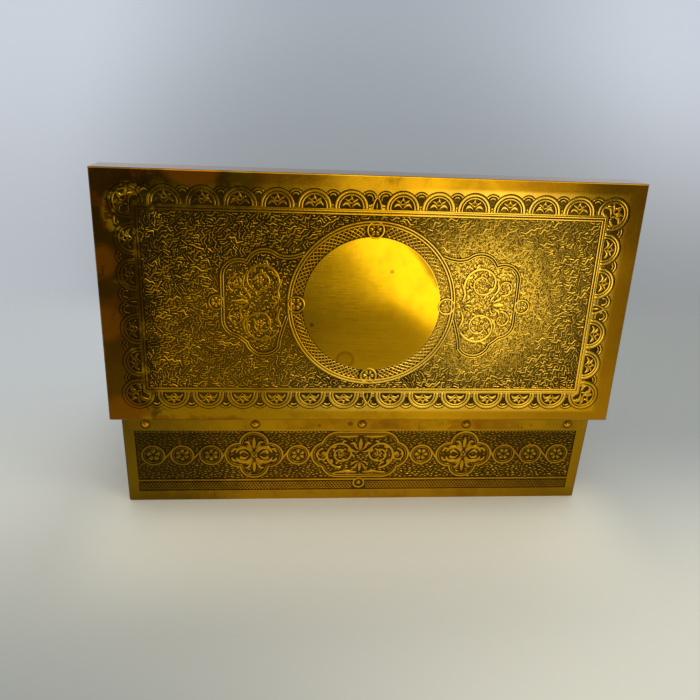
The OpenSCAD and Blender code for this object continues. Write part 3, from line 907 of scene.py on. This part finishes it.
class Finish:
    """A node tree with its shader, and one way of adding nodes to it."""

    def __init__(self, owner, shader="Principled BSDF"):
        owner.use_nodes = True
        self.material = owner
        self.tree = owner.node_tree
        self.shader = self.tree.nodes[shader]

    def feed(self, node, sockets):
        """Links values to a node's sockets, or writes them there."""
        for name, value in sockets.items():
            if isinstance(value, Value):
                self.tree.links.new(value.socket, node.inputs[name])
            else:
                node.inputs[name].default_value = value

    def set(self, **sockets):
        self.feed(self.shader, {name.replace("_", " "): value for name, value in sockets.items()})

    def node(self, kind, settings=None, sockets=None, output=0):
        made = self.tree.nodes.new("ShaderNode" + kind)
        for name, value in (settings or {}).items():
            if name == "stops":
                self.set_stops(made.color_ramp, value)
            else:
                setattr(made, name, value)
        self.feed(made, sockets or {})
        return Value(self, made.outputs[output])

    def maths(self, operation, first, second=0.0):
        return self.node("Math", {"operation": operation}, {0: first, 1: second})

    @staticmethod
    def set_stops(ramp, stops):
        while len(ramp.elements) < len(stops):
            ramp.elements.new(1.0)
        for element, (place, colour) in zip(ramp.elements, stops):
            element.position = place
            element.color = (*colour, 1)

    def place(self):
        """Where a point is, in millimetres, on the object at rest."""
        where = self.node("TexCoord", output=3)
        return self.node("VectorMath", {"operation": "SCALE"}, {0: where, 3: 1 / MM})

    def stretched(self, where, scale, turn=(0, 0, 0)):
        return self.node("Mapping", None, {0: where, 2: turn, 3: scale})

    def noise(self, where, scale, detail=3.0, rough=0.5, bend=0.0):
        return self.node("TexNoise", None, {"Vector": where, "Scale": scale, "Detail": detail,
                                            "Roughness": rough, "Distortion": bend})

    def dot(self, where, direction):
        return self.node("VectorMath", {"operation": "DOT_PRODUCT"},
                         {0: where, 1: tuple(direction)}, output=1)

    def axes(self, where):
        """A point's x, y and z."""
        return [self.dot(where, axis) for axis in ((1, 0, 0), (0, 1, 0), (0, 0, 1))]

    def ease(self, value, low, high):
        """0 at low, 1 at high, and smooth between."""
        smooth = {"interpolation_type": "SMOOTHSTEP"}
        return self.node("MapRange", smooth, {0: value, 1: low, 2: high})

    def mix(self, share, first, second):
        first, second = (c if isinstance(c, Value) else (*c, 1) for c in (first, second))
        return self.node("Mix", {"data_type": "RGBA"}, {0: share, 6: first, 7: second}, output=2)

    def coats(self, colour, *layers):
        """The colour with others laid over it in turn, each as (share, colour)."""
        for share, layer in layers:
            colour = self.mix(share, colour, layer)
        return colour

    def bump(self, height, distance, strength=1.0, under=None):
        sockets = {"Height": height, "Distance": distance * MM, "Strength": strength}
        if under:
            sockets["Normal"] = under
        return self.node("Bump", None, sockets)


PALE = (0.95, 0.57, 0.05)
POLISHED = (0.84, 0.45, 0.004)
GOLDEN = (0.62, 0.305, 0.004)
AGED = (0.36, 0.160, 0.003)
REDDENED = (0.33, 0.098, 0.003)
DULL = (0.27, 0.13, 0.003)
OLIVE = (0.165, 0.095, 0.003)
ORANGE = (0.44, 0.140, 0.002)
RUSTY = (0.125, 0.047, 0.002)
DARKENED = (0.060, 0.024, 0.002)
# Dark patina of the sunk ground, which also stands in there as painted shade
HOLLOW_PATINA_AND_SHADE = (0.046, 0.027, 0.003)


def brass(name, panel=None, age=0.5, rough=0.2, base=GOLDEN, wear_and_painted_light=None, shift=0):
    """Old brass, its stains moved along x by shift. On a panel, the sunk ground and the flanks of the
    raised work are dark with patina and with painted shade.
    """
    f = Finish(bpy.data.materials.new(name))
    where = f.node("Mapping", None, {0: f.place(), 1: (shift, 0, 0)})
    broad = f.noise(where, 0.035, 4, 0.6, 0.6)
    waving = f.noise(where, 0.03, 0.5, 0.4)
    patchy = f.noise(where, 0.16, 5, 0.62, 0.3)
    fine = f.noise(where, 1.1, 4, 0.6)
    worn = f.ease(broad * 0.65 + patchy * 0.35, 0.62 - 0.35 * age, 0.92 - 0.35 * age)
    dark = f.ease(patchy, 0.60, 0.78) * (0.3 * age + 0.1)
    red = f.ease(f.noise(where, 0.07, 3, 0.5, 0.8), 0.55, 0.72) * (0.25 + 0.5 * age)
    colour = f.coats(base, (worn, AGED), (dark, DARKENED), (red, REDDENED))
    roughness = rough + worn * 0.06 + fine * 0.05
    cleaned, coarse = 0.0, 1.0
    where = f.place()
    # The marks laid on: wear and stains, and on some finishes painted highlight and painted shade
    if wear_and_painted_light:
        colour, roughness, cleaned, coarse = wear_and_painted_light(f, where, panel, colour, roughness, patchy)
    grain = fine * coarse
    if panel:
        depth = panel.centre.dot(panel.out) - f.dot(where, panel.out)
        # Dark patina in the sunk ground, and painted shade there and down the flanks of the raised work
        sunk_patina_and_shade = f.ease(depth, 0.10, 0.34)
        cleaned = f.ease(depth, RELIEF - 0.015, RELIEF - 0.005) * cleaned
        colour = f.mix(sunk_patina_and_shade * (0.82 + 0.3 * patchy - cleaned), colour, HOLLOW_PATINA_AND_SHADE)
        roughness = roughness + sunk_patina_and_shade * (0.3 - cleaned * 0.35)
        grain = grain + f.noise(where, 2.4, 2, 0.5) * sunk_patina_and_shade * (10 - cleaned * 9)
    scratches = f.noise(f.stretched(where, (0.12, 2.6, 2.6), (0, 0, 0.06)), 1.0, 3, 0.7)
    waves = f.bump(waving, 1.0, 0.8)
    drawn = f.bump(scratches, 0.010, 0.5, waves)
    f.set(Base_Color=colour, Roughness=roughness, Metallic=1.0, Normal=f.bump(grain, 0.004, 0.6, drawn))
    return f


# Marks on the cover: middle, reach, share of it that fades, and how much lower than wide
BLACK_BAND = ((-68, 42), 22, 0.5, 3.4)
ORANGE_PATCHES = (((-65, 48), 9, 0.2, 1.6), ((-99, 15), 6, 0.3), ((-99, -8.5), 6.5, 0.3))
ORANGE_CORNER = ((-94, -46), 8, 0.3)
RUBBED_CORNER = (((-86, 32.6), 10.0, 0.16), ((-86, 32.6), 6.0, 0.2))
# The next two: the right side and the foot, paler from rubbing and from a painted highlight on the
# raised work
RUBBED_AND_HIGHLIT_RIGHT = ((52, 2), 42, 0.5)
RUBBED_AND_HIGHLIT_FOOT = ((4, -34), 30, 0.6, 2.2)
CLEANED_RIGHT = ((48, 10), 34, 0.6)
CLEANED_CARTOUCHE = ((44, 0), 21, 0.6)
CLEANED_LEFT = ((-50, -16), 24, 0.6)
RING_STAIN = (((-9.4, -22.0), 3.6, 0.12), ((-9.4, -22.0), 2.5, 0.16))
SPECKS = (((-22.5, -7.9), 0.7), ((6.9, 13.2), 0.7))


def cover_wear_and_painted_light(f, where, panel, colour, roughness, patchy):
    """Olive patina and red patches at the left, a right side and foot made paler by rubbing and by a
    painted highlight, and the bright plain disc with painted shade at its upper right edge.
    """
    u = f.dot(where, panel.across) - panel.centre.dot(panel.across)
    v = f.dot(where, panel.up) - panel.centre.dot(panel.up)

    def near(at, size, soft=0.5, flat=1.0):
        du, dv = u - at[0], (v - at[1]) * flat
        return 1 - f.ease(du * du + dv * dv, (size * (1 - soft)) ** 2, (size * (1 + soft)) ** 2)

    edges = (f.ease(f.maths("ABSOLUTE", u), 92, 95), f.ease(f.maths("ABSOLUTE", v), 43, 44.5))
    rim = f.maths("MAXIMUM", *edges)
    colour = left_patina(f, where, u, v, near, rim, colour, patchy)
    # Paler where rubbed, and where a highlight is painted on
    rubbed_and_highlit = (near(*RUBBED_AND_HIGHLIT_RIGHT) + near(*RUBBED_AND_HIGHLIT_FOOT) * 0.7) * (1 - rim)
    disc = near((0, 0), DISC_R - 0.2, 0.006)
    colour = f.coats(colour, (rubbed_and_highlit * 0.85, PALE), (rim * f.ease(u, 20, 80) * 0.85, AGED),
                     (disc, disc_colour(f, where, u, v, near, patchy)))
    cleaned = near(*CLEANED_RIGHT) * patchy * 0.5 + near(*CLEANED_CARTOUCHE) * 0.40
    cleaned = cleaned * (0.3 + f.ease(f.noise(where, 1.5, 2, 0.6), 0.44, 0.56))
    cleaned = cleaned + near(*CLEANED_LEFT) * 0.2
    return colour, roughness - rubbed_and_highlit * 0.04 - disc * 0.05, cleaned, 1 - disc * 0.8


def left_patina(f, where, u, v, near, rim, colour, patchy):
    """The dark upper left of the cover, its red, black and orange patches and its rubbed corner."""
    ragged = patchy * 46
    olive = f.ease(v * 0.75 - u * 0.55 + ragged, 62, 96)
    rusty = f.ease(u * -1 + ragged, 101, 112)
    blotch = f.ease(f.noise(where, 0.055, 3, 0.55, 0.4), 0.50, 0.58)
    red = rim * blotch * f.ease(u * -1, -20, 70)
    black = near(*BLACK_BAND) * f.ease(patchy, 0.36, 0.56)
    orange = sum(near(*patch) for patch in ORANGE_PATCHES) + near(*ORANGE_CORNER) * 0.7
    orange = orange * f.ease(patchy, 0.30, 0.42)
    corner = near(*RUBBED_CORNER[0]) - near(*RUBBED_CORNER[1])
    corner = corner * f.ease(f.noise(where, 0.4, 3, 0.6), 0.44, 0.54)
    return f.coats(colour, (olive * 0.85, OLIVE), (rusty * 0.85, RUSTY), (red * 0.7, REDDENED),
                   (black * 0.7, DARKENED), (orange, ORANGE), (corner * 0.9, POLISHED))


def disc_colour(f, where, u, v, near, patchy):
    """The polished disc: duller below, painted shade in a wedge along its upper right edge, streaks, and
    a ring stain.
    """
    below = f.ease(u * -0.3 - v + patchy * 8, -2, 22)
    # Painted shade: a dark olive wedge along the disc's upper right edge
    painted_shade_wedge = f.ease(u * 0.79 + v * 0.62 + patchy * 2, 23.8, 26.2)
    streaks = f.noise(f.stretched(where, (0.12, 1.0, 2.6), (0, 0.05, 0)), 1.0, 4, 0.7)
    streaks = f.ease(streaks, 0.46, 0.70) * f.ease(u * -1 - v, -18, 14)
    stain = near(*RING_STAIN[0]) - near(*RING_STAIN[1]) * 0.7
    stain = stain * 0.55 + near(*SPECKS[0]) + near(*SPECKS[1]) * 0.7
    return f.coats(POLISHED, (f.ease(patchy, 0.35, 0.8) * 0.5, GOLDEN), (below * 0.45, AGED),
                   (painted_shade_wedge * 0.75, OLIVE), (streaks * 0.4, AGED), (stain, REDDENED))


# How far the walls' stains are moved along, so that none falls on the middle cartouche
WALL_SHIFT = 170


def wall_wear(f, where, panel, colour, roughness, patchy):
    """Long walls are darker towards their ends, and most at the left end of the hinge side."""
    along = f.dot(where, panel.across)
    dark = f.ease(along * -1 + patchy * 50, 55, 115) * 0.95
    dark = dark + f.ease(along + patchy * 20, 30, 110) * 0.65
    foot = 1 - f.ease(f.dot(where, (0, 0, 1)), 3.5, 6)
    colour = f.coats(colour, ((1 - dark) * 0.12, PALE), (foot * 0.3, OLIVE), (dark, OLIVE))
    return colour, roughness, (1 - dark) * patchy * 0.15, 1.0


def leaf_stains_and_painted_shade(f, where, panel, colour, roughness, patchy):
    """Painted shade, with some dirt, in rings round the nails, and a few dark red spots."""
    low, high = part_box("hinge_body_nails")
    x, _, z = f.axes(where)
    away = f.maths("PINGPONG", x, NAIL_PITCH / 2)
    row = z - (low.z + high.z) / 2 / MM
    # Painted shade, with some dirt, in a ring round each nail where it meets the leaf
    ring = 1 - f.ease(away * away + row * row, 2.6, 5.5)
    speck = f.node("TexVoronoi", None, {"Vector": where, "Scale": 0.13}, output=0)
    dots = 1 - f.ease(speck, 0.10, 0.19)
    nail_shade_and_spots = f.maths("MAXIMUM", ring, dots * 0.6)
    colour = f.mix(f.ease(x * x, 30 ** 2, 85 ** 2) * 0.5 + f.ease(x, 10, 80) * 0.25, colour, OLIVE)
    return f.mix(nail_shade_and_spots, colour, DARKENED), roughness + nail_shade_and_spots * 0.15, 0.0, 1.0


CEDAR = (0.40, 0.145, 0.030)
CEDAR_DARK = (0.125, 0.036, 0.007)
CEDAR_PALE = (0.42, 0.165, 0.045)
CEDAR_PORES = (0.045, 0.014, 0.005)


def cedar(name, grain):
    """Oiled cedar, its grain along the axis of that number."""
    f = Finish(bpy.data.materials.new(name))
    where = f.place()

    def drawn(along, across):
        return f.stretched(where, tuple(along if k == grain else across for k in range(3)))

    rings = f.ease(f.noise(drawn(0.012, 0.42), 1.0, 2, 0.4, 0.6), 0.38, 0.62)
    fibre = f.noise(drawn(0.30, 6.0), 1.0, 5, 0.65)
    pores = f.ease(f.noise(drawn(0.25, 7.0), 1.0, 2), 0.60, 0.72)
    tone = f.ease(f.noise(drawn(0.01, 0.06), 1.0, 3, 0.5), 0.35, 0.65)
    colour = f.coats(CEDAR, (rings * 0.65 + fibre * 0.6, CEDAR_DARK), (tone * 0.45, CEDAR_PALE),
                     (pores * 0.65, CEDAR_PORES))
    f.set(Base_Color=colour, Roughness=0.46 + fibre * 0.2, Normal=f.bump(fibre - pores * 0.6, 0.05, 0.6))
    return f


def dress_frame(finishes):
    """Gives every CAD node its finish."""
    of = {"cover_top_plate": "cover", "hinge_body_leaf": "leaf"}
    for name, node in frame["nodes"].items():
        if "lining" in name:
            finish = "cedar_side" if name.endswith(("left", "right")) else "cedar_long"
        elif name.endswith("_wall"):
            finish = name.split("_")[1]
        elif name.endswith(("_rim", "_nails")):
            finish = name.split("_")[-1]
        else:
            finish = of.get(name, "sheet")
        node.data.materials.clear()
        node.data.materials.append(finishes[finish].material)


# ---- camera, light and floor ----

CAMERA_AT = (31.42, 296.73, 185.81)
CAMERA_YAW, CAMERA_PITCH, CAMERA_ROLL = 5.655, 24.358, 2.887
LENS = 35.52


def place_camera():
    yaw, pitch, roll = (math.radians(a) for a in (CAMERA_YAW, CAMERA_PITCH, CAMERA_ROLL))
    level = -math.cos(pitch)
    looks = Vector((level * math.sin(yaw), level * math.cos(yaw), -math.sin(pitch)))
    data = bpy.data.cameras.new("camera")
    data.lens = LENS
    data.clip_start = 0.01
    data.clip_end = 50
    camera = added("camera", data)
    turned = looks.to_track_quat("-Z", "Y").to_matrix() @ Matrix.Rotation(roll, 3, "Z")
    camera.matrix_world = Matrix.Translation(Vector(CAMERA_AT) * MM) @ turned.to_4x4()
    bpy.context.scene.camera = camera


# Name, place, aim, size, brightness, tint and roll. The brass reflects the last one in the disc.
LIGHTS = (
    ("overhead", (-60, 60, 760), (0, 40, 0), (760, 760), 1.3, (1, 1, 1), 0.0),
    ("side", (-230, 250, 400), (-60, 50, 100), (130, 130), 7.0, (1, 0.98, 0.92), 0.0),
    ("window", (-193, 650, 41), (-193, 0, 41), (300, 220), 1.9, (1, 0.98, 0.94), -38.5),
)


def soft_light(name, at, aim, size, brightness, tint, roll):
    """A flat soft light of the given brightness, seen as that bright in the brass."""
    data = bpy.data.lights.new(name, "AREA")
    data.shape = "RECTANGLE"
    data.size, data.size_y = (s * MM for s in size)
    data.energy = brightness * math.pi * data.size * data.size_y
    data.color = tint
    lamp = added(name, data)
    lamp.location = Vector(at) * MM
    lamp.rotation_mode = "QUATERNION"
    faces = (Vector(aim) - Vector(at)).to_track_quat("-Z", "Y")
    lamp.rotation_quaternion = faces @ Quaternion((0, 0, 1), math.radians(roll))


# The backdrop behind the box, and the room in front of it that the brass reflects
BACKDROP_PALE = (0.60, 0.64, 0.71)
BACKDROP_DIM = (0.34, 0.38, 0.42)
BACKDROP_LOW = (0.28, 0.29, 0.29)
CEILING = (0.95, 0.97, 1.0)
ROOM = ((0.0, (0.07, 0.07, 0.068)), (0.34, (0.22, 0.215, 0.205)), (0.50, (0.17, 0.17, 0.165)),
        (0.62, (0.15, 0.15, 0.15)), (1.0, (0.12, 0.12, 0.125)))
# The table, cool at the back and warm in front, and its shaded corners
TABLE_COOL = (0.455, 0.48, 0.48)
TABLE_WARM = (0.55, 0.535, 0.44)
TABLE_SHADE = (0.26, 0.27, 0.25)
# The light that the brass throws on the table beside it
BRASS_GLOW = (0.85, 0.79, 0.60)


def light_world():
    """A pale backdrop behind the box, a bright ceiling, and a dim room in front."""
    world = bpy.data.worlds.new("studio")
    bpy.context.scene.world = world
    f = Finish(world, "Background")
    x, y, z = f.axes(f.node("TexCoord", output=0))
    off = x + 0.10
    pale = f.ease(off * off + f.ease(z, -0.20, 0.10) * 0.05, 0.005, 0.17)
    backdrop = f.mix(pale, BACKDROP_DIM, BACKDROP_PALE)
    low = f.ease(z * -1, -0.02, 0.30) * (1 - f.ease(x, -0.1, 0.4) * 0.6)
    backdrop = f.mix(low * 0.9, backdrop, BACKDROP_LOW)
    room = f.node("ValToRGB", {"stops": ROOM}, {0: x + 0.5})
    walls = f.mix(f.ease(y, -0.15, 0.35), backdrop, room)
    walls = f.mix(f.ease(z, 0.25, 0.85), walls, CEILING)
    seen = f.node("LightPath")
    f.set(Color=f.mix(seen, walls, backdrop), Strength=1.0)


def lay_floor():
    """A pale table whose far and near edges fade into the backdrop."""
    reach = 2600 * MM
    mesh = bpy.data.meshes.new("floor")
    corners = [(-reach, -reach, 0), (reach, -reach, 0), (reach, reach, 0), (-reach, reach, 0)]
    mesh.from_pydata(corners, [], [(0, 1, 2, 3)])
    floor = added("floor", mesh)
    f = Finish(bpy.data.materials.new("table"))
    x, y, _ = f.axes(f.place())
    colour = f.mix(f.ease(y, -120, 140), TABLE_COOL, TABLE_WARM)
    side = f.ease(x, -180, 160) * 2 - 1
    colour = f.mix(f.ease(side * (y - 75), -45, 95), colour, TABLE_SHADE)
    glow = f.ease(y, 25, 50) * (1 - f.ease(y, 55, 125)) * (1 - f.ease(x * x, 70 ** 2, 125 ** 2))
    colour = f.mix(glow * 0.7, colour, BRASS_GLOW)
    f.set(Base_Color=colour, Roughness=0.6)
    gone = f.node("BsdfTransparent")
    away = f.maths("MAXIMUM", f.ease(y, 190, 400), f.ease(y * -1, 150, 230))
    away = f.maths("MAXIMUM", away, f.ease(x * x, 350 ** 2, 800 ** 2))
    out = f.node("MixShader", None, {0: away, 1: Value(f, f.shader.outputs[0]), 2: gone})
    f.feed(f.tree.nodes["Material Output"], {"Surface": out})
    mesh.materials.append(f.material)


# ---- the whole ----

def main():
    scene = bpy.context.scene
    scene.view_settings.view_transform = "Standard"
    place_camera()
    light_world()
    lay_floor()
    for light in LIGHTS:
        soft_light(*light)
    cover = cover_panel()
    walls = wall_panels()
    finishes = {
        "cover": brass("brass_cover", cover, 0.45, wear_and_painted_light=cover_wear_and_painted_light),
        "rim": brass("brass_rim", None, 0.45, 0.24, DULL),
        "sheet": brass("brass_sheet", None, 0.7, 0.26),
        "leaf": brass("brass_leaf", None, 0.8, 0.22, wear_and_painted_light=leaf_stains_and_painted_shade),
        "nails": brass("brass_nails", None, 0.3, 0.12),
        "cedar_long": cedar("cedar_long", 0),
        "cedar_side": cedar("cedar_side", 1),
    }
    finishes["rim"].set(Coat_Weight=0.4, Coat_Roughness=0.12)
    for name, panel in walls.items():
        finishes[name] = brass("brass_" + name, panel, 0.5, 0.22, wear_and_painted_light=wall_wear, shift=WALL_SHIFT)
    dress_frame(finishes)
    border(cover, finishes["cover"])
    braid(cover, finishes["cover"])
    outlines = cover_cartouches(cover, finishes["cover"])
    cover_field(cover, finishes["cover"], outlines)
    low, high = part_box("body_front_wall")
    for name, panel in walls.items():
        long = name in ("front", "back")
        half = (high.x if long else -low.y) / MM - FRIEZE_MARGIN
        frieze(name, panel, finishes[name], half, long)


main()
